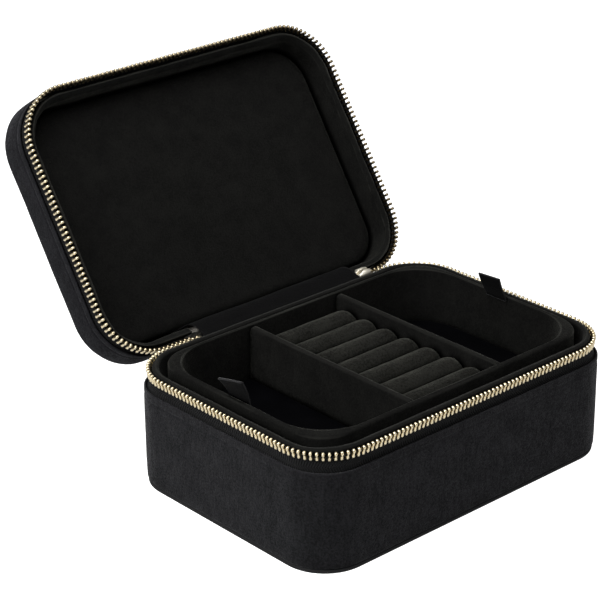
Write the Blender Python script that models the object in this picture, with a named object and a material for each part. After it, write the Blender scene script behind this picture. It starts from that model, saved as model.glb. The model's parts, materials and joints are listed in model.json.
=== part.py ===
"""Travel jewelry case: a zip-around velvet case with a hinged lid and a lift-out ring tray.

Units are metres. X runs along the width, Y from front to back and Z up. The origin is the
centre of the base's underside. Every piece is built where it sits in the closed case, and the
lid is then turned open about its hinge line. An inset is a distance in from the case's outline.
"""
import math

import bmesh
import bpy
from mathutils import Matrix, Vector

# Outline of the closed case, and the corner radius at inset 0 of each layer.
CASE_WIDTH = 0.2000
CASE_DEPTH = 0.1416
BASE_CORNER = 0.024
ZIP_CORNER = 0.027
LID_CORNER = 0.028
LID_LINING_CORNER = 0.029
CORNER_SEGMENTS = 6

# Heights in the closed case.
BOTTOM_PANEL_TOP = 0.0020
BASE_COVER_TOP = 0.0518
BASE_BOARD_TOP = 0.0500
COLLAR_TOP = 0.0622
BASE_TAPE_TOP = 0.0570
BASE_TEETH_TOP = 0.0602
LID_TEETH_BOTTOM = 0.0605
LID_TEETH_TOP = 0.0637
LID_LINING_BOTTOM = 0.0627
LID_COVER_BOTTOM = 0.0686
LID_TAPE_TOP = 0.0702
LID_CEILING = 0.0770
CASE_HEIGHT = 0.0860

# Layers through the walls.
COVER_THICKNESS = 0.0010
BOARD_INSET = 0.0013
BOARD_THICKNESS = 0.0025
LINING_INSET = 0.0041
COLLAR_INSET = 0.0030
COLLAR_INNER_INSET = 0.0064
LID_LINING_INNER_INSET = 0.0066
TAPE_INSET = 0.0013
TAPE_THICKNESS = 0.0006
TEETH_DEPTH = 0.0026
LIP_ROUNDING = 0.0011
GAP = 0.0003

# Bottom of the case, and the ledge that the tray rests on.
BOTTOM_PANEL_INSET = 0.0006
BASE_FLOOR_BOARD = 0.0022
PAD_THICKNESS = 0.0020
PAD_ROUNDING = 0.0008
LEDGE_HALF_X = 0.0873
LEDGE_HALF_Y = 0.0555
LEDGE_CORNER = 0.0160

# Top of the lid.
LID_EDGE_ROUNDING = 0.0016
LID_COVER_SEAM = 0.0040
LID_BOARD_CHAMFER = 0.0022
LID_BOARD_TOP = 0.0024
LID_PANEL_ROUNDING = 0.0010

# The hinge is a fabric spine at the back, between the two ends of the zip.
HINGE_Y = 0.07144
HINGE_Z = 0.0589
LID_OPEN_DEGREES = 124.0
SPINE_LEFT = -0.0510
SPINE_RIGHT = 0.0540
ZIP_START = -0.0540
ZIP_END = 0.0713
LID_LINING_END = 0.0708
SPINE_THICKNESS = 0.0015
HINGE_LINING_BASE = 0.0520
HINGE_LINING_THICKNESS = 0.0008
HINGE_LINING_FRONT_Y = 0.0642
HINGE_LINING_BACK_Y = 0.0667
HINGE_LINING_LID_Z = 0.0666
STOP_FRONT_Y = 0.0690
STOP_BACK_Y = 0.0718
STOP_BOTTOM = 0.0569
STOP_TOP = 0.0611

# Lift-out tray. Its wall is thickest at the corners, as the inner corners are rounder.
TRAY_HALF_X = 0.0906
TRAY_HALF_Y = 0.0597
TRAY_CORNER = 0.0180
TRAY_INNER_CORNER = 0.0265
TRAY_WALL = 0.0025
TRAY_BOTTOM = 0.0320
TRAY_TOP = 0.0645
TRAY_BOARD = 0.0020
TRAY_FLOOR = 0.0350
DIVIDER_X = 0.0292
DIVIDER_THICKNESS = 0.0030
DIVIDER_TOP = 0.0641

# Ring rolls, which lie along X between the dividers.
ROLL_COUNT = 7
ROLL_PITCH = 0.0150
ROLL_RADIUS = 0.00735
ROLL_AXIS_Z = 0.0524
ROLL_HALF_LENGTH = 0.0274

# Ribbon tabs that lift the tray.
TAB_ROOT_X = 0.0869
LEFT_TAB_Y = -0.0014
RIGHT_TAB_Y = -0.0001
TAB_ROOT_Z = 0.0649
TAB_WIDTH = 0.0135
TAB_LENGTH = 0.0124
TAB_THICKNESS = 0.0012
TAB_LEAN_DEGREES = -25.0

# Zip slider and pull.
SLIDER_X = 0.0600
SLIDER_LENGTH = 0.0090
SLIDER_BACK_Y = 0.0684
SLIDER_FACE_Y = 0.0729
SLIDER_Z = 0.0600
SLIDER_HEIGHT = 0.0088
SLIDER_EDGE = 0.0005
ARCH_HALF_WIDTH = 0.0017
PULL_AXIS_Y = 0.07375
LINK_WIRE = 0.0005
LINK_HALF_WIDTH = 0.0032
LINK_LENGTH = 0.0110
PULL_LENGTH = 0.0190
PULL_WIDTH = 0.0060
PULL_THICKNESS = 0.0010
PULL_NECK = 0.0044
PULL_NECK_LENGTH = 0.0040

VELVET = ((0.012, 0.012, 0.014), 0.90, 0.0)
LINING_VELVET = ((0.011, 0.011, 0.010), 0.90, 0.0)
TAPE_WEAVE = ((0.015, 0.015, 0.016), 0.80, 0.0)
GREYBOARD = ((0.30, 0.28, 0.25), 0.90, 0.0)
FOAM_VELVET = ((0.013, 0.013, 0.012), 0.95, 0.0)
RIBBON = ((0.014, 0.014, 0.014), 0.60, 0.0)
GOLD = ((0.83, 0.69, 0.45), 0.28, 1.0)
BASE_FABRIC = ((0.010, 0.010, 0.010), 0.70, 0.0)


def clear_scene():
    """Remove every object."""
    for item in list(bpy.data.objects):
        bpy.data.objects.remove(item, do_unlink=True)


def make_material(name, finish):
    """A Principled material from a (colour, roughness, metallic) finish."""
    colour, roughness, metallic = finish
    material = bpy.data.materials.new(name)
    material.use_nodes = True
    shader = material.node_tree.nodes["Principled BSDF"]
    shader.inputs["Base Color"].default_value = (*colour, 1.0)
    shader.inputs["Roughness"].default_value = roughness
    shader.inputs["Metallic"].default_value = metallic
    return material


def make_frame(name, position, parent=None):
    """An empty that carries a group of pieces, with its origin on the group's joint axis."""
    empty = bpy.data.objects.new(name, None)
    bpy.context.scene.collection.objects.link(empty)
    empty["world_position"] = position
    if parent is None:
        empty.location = position
    else:
        empty.parent = parent
        empty.location = Vector(position) - Vector(parent["world_position"])
    return empty


def add_solid(name, loops, frame, finish, joined=False, open_ends=False):
    """One closed body skinned over loops with the same number of points.

    joined skins from the last loop back to the first, as round a ring; otherwise the first and
    last loops are filled. open_ends leaves each loop unclosed and fills the two ends instead.
    """
    mesh = bmesh.new()
    rows = [[mesh.verts.new(point) for point in loop] for loop in loops]
    bands = list(zip(rows, rows[1:]))
    if joined:
        bands.append((rows[-1], rows[0]))
    spans = len(rows[0]) - 1 if open_ends else len(rows[0])
    for first, second in bands:
        for index in range(spans):
            after = (index + 1) % len(first)
            mesh.faces.new((first[index], first[after], second[after], second[index]))
    if not joined:
        mesh.faces.new(rows[0])
        mesh.faces.new(rows[-1])
    if open_ends:
        mesh.faces.new([row[0] for row in rows])
        mesh.faces.new([row[-1] for row in rows])
    bmesh.ops.recalc_face_normals(mesh, faces=mesh.faces)
    mesh.transform(Matrix.Translation(-Vector(frame["world_position"])))
    data = bpy.data.meshes.new(name)
    mesh.to_mesh(data)
    mesh.free()
    data.materials.append(make_material(name, finish))
    data.shade_smooth()
    data.set_sharp_from_angle(angle=math.radians(40))
    piece = bpy.data.objects.new(name, data)
    bpy.context.scene.collection.objects.link(piece)
    piece.parent = frame
    return piece


def rounded_rectangle(half_x, half_y, radius):
    """Corner arcs of a rounded rectangle, counter-clockwise from the back left corner."""
    points = []
    for corner, (side_x, side_y) in enumerate(((-1, 1), (-1, -1), (1, -1), (1, 1))):
        for step in range(CORNER_SEGMENTS + 1):
            angle = math.radians(90) * (1 + corner + step / CORNER_SEGMENTS)
            points.append((side_x * (half_x - radius) + radius * math.cos(angle),
                           side_y * (half_y - radius) + radius * math.sin(angle)))
    return points


def case_loop(inset, z, corner):
    """A level loop at an inset from the case's outline, for a layer with that corner radius."""
    outline = rounded_rectangle(CASE_WIDTH / 2 - inset, CASE_DEPTH / 2 - inset, corner - inset)
    return [(x, y, z) for x, y in outline]


def case_run(inset, z, corner, start_x, end_x):
    """The same loop, opened at the back between start_x on the left and end_x on the right."""
    back_y = CASE_DEPTH / 2 - inset
    return [(start_x, back_y, z), *case_loop(inset, z, corner), (end_x, back_y, z)]


def add_block(name, low, high, frame, finish):
    """A rectangular block between two corners."""
    loops = [[(low[0], low[1], z), (high[0], low[1], z), (high[0], high[1], z), (low[0], high[1], z)]
             for z in (low[2], high[2])]
    return add_solid(name, loops, frame, finish)


def make_base(frame):
    """Bottom panel, board shell, velvet cover, lining collar, floor pad and tray ledge."""
    edge = BOTTOM_PANEL_INSET
    panel = ((2 * edge, 0.0), (edge, edge), (edge, BOTTOM_PANEL_TOP))
    add_solid("base_bottom_panel", [case_loop(i, z, BASE_CORNER) for i, z in panel], frame, BASE_FABRIC)

    board_inner = BOARD_INSET + BOARD_THICKNESS
    shell_bottom = BOTTOM_PANEL_TOP + GAP
    shell = ((BOARD_INSET, shell_bottom), (BOARD_INSET, BASE_BOARD_TOP),
             (board_inner, BASE_BOARD_TOP), (board_inner, shell_bottom + BASE_FLOOR_BOARD))
    add_solid("base_shell", [case_loop(i, z, BASE_CORNER) for i, z in shell], frame, GREYBOARD)

    cover = ((0.0, shell_bottom), (0.0, BASE_COVER_TOP),
             (COVER_THICKNESS, BASE_COVER_TOP), (COVER_THICKNESS, shell_bottom))
    add_solid("base_cover", [case_loop(i, z, BASE_CORNER) for i, z in cover], frame, VELVET, joined=True)

    floor_top = shell_bottom + BASE_FLOOR_BOARD
    collar = ((LINING_INSET, floor_top + GAP), (LINING_INSET, BASE_BOARD_TOP + GAP),
              (COLLAR_INSET, BASE_BOARD_TOP + LINING_INSET - COLLAR_INSET), (COLLAR_INSET, COLLAR_TOP - LIP_ROUNDING),
              (COLLAR_INSET + LIP_ROUNDING, COLLAR_TOP), (COLLAR_INNER_INSET - LIP_ROUNDING, COLLAR_TOP),
              (COLLAR_INNER_INSET, COLLAR_TOP - LIP_ROUNDING), (COLLAR_INNER_INSET, floor_top + GAP))
    add_solid("base_lining_wall", [case_loop(i, z, ZIP_CORNER) for i, z in collar], frame,
              LINING_VELVET, joined=True)

    pad_inset = COLLAR_INNER_INSET + GAP
    pad_top = floor_top + GAP + PAD_THICKNESS
    pad = ((pad_inset, floor_top + GAP), (pad_inset, pad_top - PAD_ROUNDING), (pad_inset + PAD_ROUNDING, pad_top))
    add_solid("base_floor_pad", [case_loop(i, z, ZIP_CORNER) for i, z in pad], frame, LINING_VELVET)

    make_tray_ledge(frame, pad_top + GAP)


def make_tray_ledge(frame, bottom):
    """The frame inside the base that the tray rests on."""
    top = TRAY_BOTTOM - GAP
    inset = COLLAR_INNER_INSET + GAP
    outer = rounded_rectangle(CASE_WIDTH / 2 - inset, CASE_DEPTH / 2 - inset, ZIP_CORNER - inset)
    inner = rounded_rectangle(LEDGE_HALF_X, LEDGE_HALF_Y, LEDGE_CORNER)
    loops = [[(x, y, z) for x, y in outline]
             for outline, z in ((outer, bottom), (outer, top), (inner, top), (inner, bottom))]
    add_solid("tray_rest_frame", loops, frame, LINING_VELVET, joined=True)


def make_lid(frame):
    """Lid cover, board, lining wall and lining panel, built over the closed case."""
    rounding = LID_EDGE_ROUNDING
    cover = ((LID_COVER_SEAM, CASE_HEIGHT - COVER_THICKNESS), (COVER_THICKNESS, CASE_HEIGHT - 2 * rounding),
             (COVER_THICKNESS, LID_COVER_BOTTOM), (0.0, LID_COVER_BOTTOM), (0.0, CASE_HEIGHT - rounding),
             (rounding / 3, CASE_HEIGHT - rounding / 3), (rounding, CASE_HEIGHT))
    add_solid("lid_cover", [case_loop(i, z, LID_CORNER) for i, z in cover], frame, VELVET)

    board_bottom = LID_TAPE_TOP + GAP
    board_top = CASE_HEIGHT - COVER_THICKNESS - GAP
    board_inner = BOARD_INSET + BOARD_THICKNESS
    board = ((board_inner, board_top - LID_BOARD_TOP), (board_inner, board_bottom), (BOARD_INSET, board_bottom),
             (BOARD_INSET, board_top - LID_BOARD_CHAMFER), (LID_COVER_SEAM + GAP, board_top))
    add_solid("lid_shell", [case_loop(i, z, LID_CORNER) for i, z in board], frame, GREYBOARD)

    lining_top = board_top - LID_BOARD_TOP - GAP
    lip = LID_LINING_BOTTOM
    wall = ((LINING_INSET, lining_top), (LINING_INSET, LID_TAPE_TOP + GAP), (COLLAR_INSET, LID_TAPE_TOP - GAP),
            (COLLAR_INSET, lip + LIP_ROUNDING), (COLLAR_INSET + LIP_ROUNDING, lip),
            (LID_LINING_INNER_INSET - LIP_ROUNDING, lip), (LID_LINING_INNER_INSET, lip + LIP_ROUNDING),
            (LID_LINING_INNER_INSET, lining_top))
    runs = [case_run(i, z, LID_LINING_CORNER, SPINE_LEFT - GAP, LID_LINING_END) for i, z in wall]
    add_solid("lid_lining_wall", runs, frame, LINING_VELVET, joined=True, open_ends=True)

    panel_inset = LID_LINING_INNER_INSET + GAP
    rounding = LID_PANEL_ROUNDING
    panel = ((panel_inset, lining_top), (panel_inset, LID_CEILING + rounding), (panel_inset + rounding, LID_CEILING))
    add_solid("lid_lining_panel", [case_loop(i, z, LID_LINING_CORNER) for i, z in panel], frame, LINING_VELVET)


def make_hinge_fabric(base_frame, lid_frame):
    """The spine on the outside and the lining on the inside, each in a base and a lid half."""
    outer_y = CASE_DEPTH / 2 - GAP
    inner_y = outer_y - SPINE_THICKNESS
    add_block("spine_lower", (SPINE_LEFT, inner_y, BASE_COVER_TOP + GAP),
              (SPINE_RIGHT, outer_y, HINGE_Z - GAP), base_frame, VELVET)
    add_block("spine_upper", (SPINE_LEFT, inner_y, HINGE_Z + GAP),
              (SPINE_RIGHT, outer_y, LID_COVER_BOTTOM - GAP), lid_frame, VELVET)
    lining_y = CASE_DEPTH / 2 - COLLAR_INSET + GAP
    add_block("hinge_lining_lower", (SPINE_LEFT, lining_y, HINGE_LINING_BASE),
              (SPINE_RIGHT, lining_y + HINGE_LINING_THICKNESS, COLLAR_TOP - GAP), base_frame, LINING_VELVET)
    add_block("hinge_lining_upper", (SPINE_LEFT, HINGE_LINING_FRONT_Y, HINGE_LINING_LID_Z),
              (LID_LINING_END - GAP, HINGE_LINING_BACK_Y, LID_CEILING), lid_frame, LINING_VELVET)


def make_zip(base_frame, lid_frame):
    """Tape and tooth row on each half of the case, and the stop where the two rows meet."""
    tape_inner = TAPE_INSET + TAPE_THICKNESS
    bars = (
        ("base_zip_tape", base_frame, TAPE_INSET, tape_inner, BASE_BOARD_TOP + GAP, BASE_TAPE_TOP,
         BASE_CORNER, TAPE_WEAVE),
        ("base_zip_teeth", base_frame, 0.0, TEETH_DEPTH, BASE_TAPE_TOP + GAP, BASE_TEETH_TOP, ZIP_CORNER, GOLD),
        ("lid_zip_teeth", lid_frame, 0.0, TEETH_DEPTH, LID_TEETH_BOTTOM, LID_TEETH_TOP, ZIP_CORNER, GOLD),
        ("lid_zip_tape", lid_frame, TAPE_INSET, tape_inner, LID_TEETH_TOP + GAP, LID_TAPE_TOP,
         LID_CORNER, TAPE_WEAVE),
    )
    for name, frame, outer, inner, low, high, corner, finish in bars:
        section = ((outer, low), (outer, high), (inner, high), (inner, low))
        runs = [case_run(i, z, corner, ZIP_START, ZIP_END) for i, z in section]
        add_solid(name, runs, frame, finish, joined=True, open_ends=True)
    add_block("zip_bottom_stop", (ZIP_START + GAP, STOP_FRONT_Y, STOP_BOTTOM),
              (SPINE_LEFT - 2 * GAP, STOP_BACK_Y, STOP_TOP), base_frame, GOLD)


def make_slider(frame):
    """Shield-shaped zip slider, with an arch on its outer face for the pull link."""
    half_height = SLIDER_HEIGHT / 2
    nose = SLIDER_X - SLIDER_LENGTH / 2
    tail = SLIDER_X + SLIDER_LENGTH / 2
    shield = ((nose, -0.55), (nose + 0.0012, -0.85), (nose + 0.0040, -1.0), (tail - 0.0010, -0.90),
              (tail, -0.70), (tail, 0.70), (tail - 0.0010, 0.90), (nose + 0.0040, 1.0),
              (nose + 0.0012, 0.85), (nose, 0.55))
    loops = []
    for y, shrink in ((SLIDER_BACK_Y, 0.93), (SLIDER_BACK_Y + SLIDER_EDGE, 1.0),
                      (SLIDER_FACE_Y - SLIDER_EDGE, 1.0), (SLIDER_FACE_Y, 0.93)):
        loops.append([(SLIDER_X + (x - SLIDER_X) * shrink, y, SLIDER_Z + side * half_height * shrink)
                      for x, side in shield])
    body = add_solid("zip_slider", loops, frame, GOLD)

    outer = ((-0.0030, -0.0006), (-0.0030, 0.0018), (-0.0020, 0.0027), (0.0020, 0.0027),
             (0.0030, 0.0018), (0.0030, -0.0006))
    inner = ((0.0018, -0.0006), (0.0018, 0.0012), (0.0012, 0.0017), (-0.0012, 0.0017),
             (-0.0018, 0.0012), (-0.0018, -0.0006))
    arch_loops = [[(x, SLIDER_FACE_Y + y, SLIDER_Z + z) for z, y in (*outer, *inner)]
                  for x in (SLIDER_X - ARCH_HALF_WIDTH, SLIDER_X + ARCH_HALF_WIDTH)]
    arch = add_solid("slider_arch_tool", arch_loops, frame, GOLD)
    arch.hide_render = True
    arch.display_type = "WIRE"
    union = body.modifiers.new("arch", "BOOLEAN")
    union.operation = "UNION"
    union.object = arch


def make_pull(frame):
    """Wire link through the slider's arch, and the strap that is folded round the link."""
    half = LINK_LENGTH / 2
    path = [(SLIDER_X + x, PULL_AXIS_Y, SLIDER_Z - half + z)
            for x, z in rounded_rectangle(LINK_HALF_WIDTH, half, 0.0014)[::2]]
    sections = []
    for index, point in enumerate(path):
        before = Vector(path[index - 1])
        after = Vector(path[(index + 1) % len(path)])
        outward = (after - before).normalized().cross(Vector((0, 1, 0)))
        sections.append([tuple(Vector(point) + LINK_WIRE * (math.cos(a) * outward + math.sin(a) * Vector((0, 1, 0))))
                         for a in [math.radians(60 * side) for side in range(6)]])
    add_solid("zip_pull_link", sections, frame, GOLD, joined=True)

    wrap_radius = LINK_WIRE + GAP + PULL_THICKNESS / 2
    bar_z = SLIDER_Z - LINK_LENGTH
    inner, outer = [], []
    for step in range(9):
        angle = math.radians(250 - 250 * step / 8)
        for side, radius in ((inner, wrap_radius - PULL_THICKNESS / 2), (outer, wrap_radius + PULL_THICKNESS / 2)):
            side.append((PULL_AXIS_Y + radius * math.cos(angle), bar_z + radius * math.sin(angle)))
    inner.append((PULL_AXIS_Y + wrap_radius - PULL_THICKNESS / 2, bar_z - PULL_LENGTH))
    outer.append((PULL_AXIS_Y + wrap_radius + PULL_THICKNESS / 2, bar_z - PULL_LENGTH))
    strip = inner + outer[::-1]
    loops = []
    for side in (-1, 1):
        loop = []
        for y, z in strip:
            width = PULL_NECK if z > bar_z - PULL_NECK_LENGTH else PULL_WIDTH
            loop.append((SLIDER_X + side * width / 2, y, z))
        loops.append(loop)
    add_solid("zip_pull_tab", loops, frame, GOLD)


def make_tray(frame):
    """Tray shell, floor linings and dividers."""
    inner_x = TRAY_HALF_X - TRAY_WALL
    inner_y = TRAY_HALF_Y - TRAY_WALL
    lip = TRAY_WALL * 0.3
    shell = ((lip, TRAY_BOTTOM), (0.0, TRAY_BOTTOM + lip), (0.0, TRAY_TOP - lip), (lip, TRAY_TOP),
             (TRAY_WALL - lip, TRAY_TOP), (TRAY_WALL, TRAY_TOP - lip), (TRAY_WALL, TRAY_BOTTOM + TRAY_BOARD))
    loops = []
    for inset, z in shell:
        corner = TRAY_CORNER + (TRAY_INNER_CORNER - TRAY_CORNER) * inset / TRAY_WALL
        outline = rounded_rectangle(TRAY_HALF_X - inset, TRAY_HALF_Y - inset, corner)
        loops.append([(x, y, z) for x, y in outline])
    add_solid("tray_shell", loops, frame, LINING_VELVET)

    floor_outline = rounded_rectangle(inner_x - GAP, inner_y - GAP, TRAY_INNER_CORNER - GAP)
    bay_edge = DIVIDER_X + DIVIDER_THICKNESS / 2 + GAP
    core_edge = DIVIDER_X - DIVIDER_THICKNESS / 2 - GAP
    bays = (("tray_floor_left", -CASE_WIDTH, -bay_edge), ("tray_floor_centre", -core_edge, core_edge),
            ("tray_floor_right", bay_edge, CASE_WIDTH))
    for name, low_x, high_x in bays:
        outline = clip_outline(floor_outline, low_x, high_x)
        loops = [[(x, y, z) for x, y in outline] for z in (TRAY_BOTTOM + TRAY_BOARD + GAP, TRAY_FLOOR)]
        add_solid(name, loops, frame, LINING_VELVET)

    half = DIVIDER_THICKNESS / 2
    for name, centre in (("divider_left", -DIVIDER_X), ("divider_right", DIVIDER_X)):
        section = [(centre - half, TRAY_BOTTOM + TRAY_BOARD + GAP), (centre + half, TRAY_BOTTOM + TRAY_BOARD + GAP)]
        for step in range(7):
            angle = math.radians(30 * step)
            section.append((centre + half * math.cos(angle), DIVIDER_TOP - half + half * math.sin(angle)))
        loops = [[(x, y, z) for x, z in section] for y in (GAP - inner_y, inner_y - GAP)]
        add_solid(name, loops, frame, LINING_VELVET)


def clip_outline(points, low_x, high_x):
    """The part of a convex outline between two X values."""
    for limit, keep in ((low_x, 1), (high_x, -1)):
        kept = []
        for (x0, y0), (x1, y1) in zip(points, points[1:] + points[:1]):
            inside0 = (x0 - limit) * keep >= 0
            inside1 = (x1 - limit) * keep >= 0
            if inside0:
                kept.append((x0, y0))
            if inside0 != inside1:
                kept.append((limit, y0 + (y1 - y0) * (limit - x0) / (x1 - x0)))
        points = kept
    return points


def make_ring_rolls(frame):
    """Round-topped foam rolls side by side; rings are held in the grooves between them."""
    stations = ((1.0, 0.55), (0.985, 0.78), (0.93, 0.92), (0.75, 1.0))
    ends = [(-ROLL_HALF_LENGTH * along, ROLL_RADIUS * size) for along, size in stations]
    ends += [(-x, radius) for x, radius in reversed(ends)]
    for number in range(ROLL_COUNT):
        centre_y = (number - (ROLL_COUNT - 1) / 2) * ROLL_PITCH
        loops = []
        for x, radius in ends:
            loop = [(x, centre_y - radius, TRAY_FLOOR + GAP), (x, centre_y + radius, TRAY_FLOOR + GAP)]
            for step in range(9):
                angle = math.radians(22.5 * step)
                loop.append((x, centre_y + radius * math.cos(angle), ROLL_AXIS_Z + radius * math.sin(angle)))
            loops.append(loop)
        add_solid("ring_roll_%d" % (number + 1), loops, frame, FOAM_VELVET)


def make_tab(name, frame):
    """A folded ribbon tab, built upright over its root and then leaned to the left."""
    root_x, root_y, root_z = frame["world_position"]
    half_width = TAB_WIDTH / 2
    half_thickness = TAB_THICKNESS / 2
    edge = ((-1.0, 0.0), (1.0, 0.0), (1.0, 0.88), (0.88, 1.0), (-0.88, 1.0), (-1.0, 0.88))
    loops = []
    for side in (-1, 1):
        loops.append([(root_x + side * half_thickness, root_y + across * half_width,
                       root_z + GAP + up * (TAB_LENGTH - GAP)) for across, up in edge])
    add_solid(name, loops, frame, RIBBON)
    frame.rotation_euler.y = math.radians(TAB_LEAN_DEGREES)


def build_case():
    """Build every piece on its frame, then open the lid."""
    clear_scene()
    base_frame = make_frame("base_frame", (0.0, 0.0, 0.0))
    lid_frame = make_frame("lid_hinge_axis", (0.0, HINGE_Y, HINGE_Z))
    tray_frame = make_frame("tray_frame", (0.0, 0.0, TRAY_BOTTOM))
    slider_frame = make_frame("slider_frame", (SLIDER_X, SLIDER_FACE_Y, SLIDER_Z))
    pull_frame = make_frame("pull_axis", (SLIDER_X, PULL_AXIS_Y, SLIDER_Z), slider_frame)
    left_frame = make_frame("left_tab_axis", (-TAB_ROOT_X, LEFT_TAB_Y, TAB_ROOT_Z), tray_frame)
    right_frame = make_frame("right_tab_axis", (TAB_ROOT_X, RIGHT_TAB_Y, TAB_ROOT_Z), tray_frame)
    make_base(base_frame)
    make_lid(lid_frame)
    make_hinge_fabric(base_frame, lid_frame)
    make_zip(base_frame, lid_frame)
    make_slider(slider_frame)
    make_pull(pull_frame)
    make_tray(tray_frame)
    make_ring_rolls(tray_frame)
    make_tab("tray_tab_left", left_frame)
    make_tab("tray_tab_right", right_frame)
    lid_frame.rotation_euler.x = -math.radians(LID_OPEN_DEGREES)


build_case()
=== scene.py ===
"""Looks of the travel jewelry case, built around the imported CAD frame.

Lengths are metres, written in millimetres times MM. Pieces of the lid are built in the closed
case, where they are level, and then turned open with the lid. An inset is a distance in from
the closed case's outline.
"""
import json
import math

import bpy
import bmesh
import numpy as np
from mathutils import Matrix, Vector, noise


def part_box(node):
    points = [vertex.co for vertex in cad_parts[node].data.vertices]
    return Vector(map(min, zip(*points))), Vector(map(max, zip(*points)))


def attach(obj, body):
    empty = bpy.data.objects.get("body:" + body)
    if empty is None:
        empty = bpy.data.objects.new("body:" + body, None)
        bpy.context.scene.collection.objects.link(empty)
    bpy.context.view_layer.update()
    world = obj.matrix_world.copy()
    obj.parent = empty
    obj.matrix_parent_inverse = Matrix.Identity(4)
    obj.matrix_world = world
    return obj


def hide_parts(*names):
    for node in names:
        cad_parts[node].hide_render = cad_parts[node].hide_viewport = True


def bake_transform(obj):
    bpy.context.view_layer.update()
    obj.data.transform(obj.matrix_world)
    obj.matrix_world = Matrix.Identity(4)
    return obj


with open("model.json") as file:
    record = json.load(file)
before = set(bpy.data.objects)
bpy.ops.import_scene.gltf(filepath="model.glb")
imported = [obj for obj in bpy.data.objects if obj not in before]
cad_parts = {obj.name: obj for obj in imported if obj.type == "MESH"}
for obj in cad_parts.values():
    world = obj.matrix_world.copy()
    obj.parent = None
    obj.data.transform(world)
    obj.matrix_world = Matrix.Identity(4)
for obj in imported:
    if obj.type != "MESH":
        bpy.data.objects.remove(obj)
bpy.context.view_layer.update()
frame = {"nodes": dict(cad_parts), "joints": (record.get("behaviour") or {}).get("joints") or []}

MM = 0.001


def ramp(value, low, high):
    """0 below low, 1 above high, and a straight line between."""
    return min(max((value - low) / (high - low), 0.0), 1.0)


# ---------------------------------------------------------------- sizes, from the frame
def find_joint(name):
    """The record's joint with that name."""
    return next(joint for joint in frame["joints"] if joint["name"] == name)


HINGE = Vector(find_joint("lid_hinge")["pos_m"])
OPEN_ANGLE = -math.radians(find_joint("lid_hinge")["range_deg"][0])
LID_OPENING = Matrix.Translation(HINGE) @ Matrix.Rotation(-OPEN_ANGLE, 4, "X") @ Matrix.Translation(-HINGE)
LID_CLOSING = LID_OPENING.inverted()


def closed_box(node):
    """Lowest and highest corner of a lid node in the closed case."""
    points = np.array([LID_CLOSING @ vertex.co for vertex in frame["nodes"][node].data.vertices])
    return Vector(points.min(0)), Vector(points.max(0))


HALF_X, HALF_Y, COVER_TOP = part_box("base_cover")[1]
COVER_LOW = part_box("base_cover")[0].z
PANEL_HALF_X, _, PANEL_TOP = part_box("base_bottom_panel")[1]
COLLAR_LOW, COLLAR_TOP = (corner.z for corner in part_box("base_lining_wall"))
TAPE_LOW, TAPE_TOP = (corner.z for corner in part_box("base_zip_tape"))
TEETH_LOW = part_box("base_zip_teeth")[0].z
LEDGE_LOW, LEDGE_TOP = (corner.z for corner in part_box("tray_rest_frame"))
PAD_LOW, PAD_TOP = (corner.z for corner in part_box("base_floor_pad"))

LID_COVER_LOW, LID_TOP = (corner.z for corner in closed_box("lid_cover"))
CEILING, LID_LINING_TOP = (corner.z for corner in closed_box("lid_lining_panel"))
LID_LIP = closed_box("lid_lining_wall")[0].z
LID_TEETH_TOP = closed_box("lid_zip_teeth")[1].z
LID_TAPE_TOP = closed_box("lid_zip_tape")[1].z

TRAY_LOW, TRAY_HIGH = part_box("tray_shell")
TRAY_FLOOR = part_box("tray_floor_left")[1].z
SPINE_LEFT, SPINE_RIGHT = (corner.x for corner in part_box("spine_lower"))


# ---------------------------------------------------------------- sizes of the fabric and the zip
COLLAR_INSET = 3.0 * MM
COLLAR_INNER_INSET = 6.4 * MM
TRAY_WALL = 2.5 * MM

# Corner radii of the closed case's outline. The lid's lining is tighter next to the hinge.
BASE_CORNER = 24.0 * MM
ZIP_CORNER = 27.0 * MM
LID_CORNER = 28.0 * MM
LID_ZIP_CORNER = 29.0 * MM
LID_LINING_CORNER = 29.0 * MM
LID_LINING_TIGHTER = 2.5 * MM
TRAY_CORNER = 18.0 * MM
TRAY_INNER_CORNER = 26.5 * MM

# The zip runs from ZIP_START on the back edge, round the left, front and right, to ZIP_END.
ZIP_START = -54.0 * MM
ZIP_END = 64.0 * MM
TOOTH_PITCH = 2.70 * MM
CORD_RADIUS = 0.85 * MM
TAPE_THICKNESS = 0.55 * MM
# Each half's inset and corner radius of the tooth row, and the lean of its teeth.
ZIP_LINES = {
    "base": (2.0 * MM, ZIP_CORNER, math.radians(24)),
    "lid": (1.0 * MM, LID_ZIP_CORNER, math.radians(6)),
}


# ---------------------------------------------------------------- view and light
CAMERA_AZIMUTH, CAMERA_ELEVATION = -41.92, 24.12
CAMERA_ROLL = math.radians(-0.46)
CAMERA_TARGET = Vector((-7.37 * MM, 45.53 * MM, 74.81 * MM))
CAMERA_DISTANCE = 1.0844
CAMERA_LENS = 130.6

LAMP_TARGET = Vector((0.0, 0.04, 0.06))
LAMPS = (
    # name, azimuth, elevation, distance, size, power
    ("key", -92.0, 36.0, 1.1, 0.7, 12.0),
    ("fill", 20.0, 30.0, 1.3, 0.8, 2.6),
    ("top", -50.0, 74.0, 1.2, 0.9, 12.0),
)
# The world's strength on the case, and as the camera sees it.
WORLD_LIGHT, WORLD_SEEN = 0.15, 1.05


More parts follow.
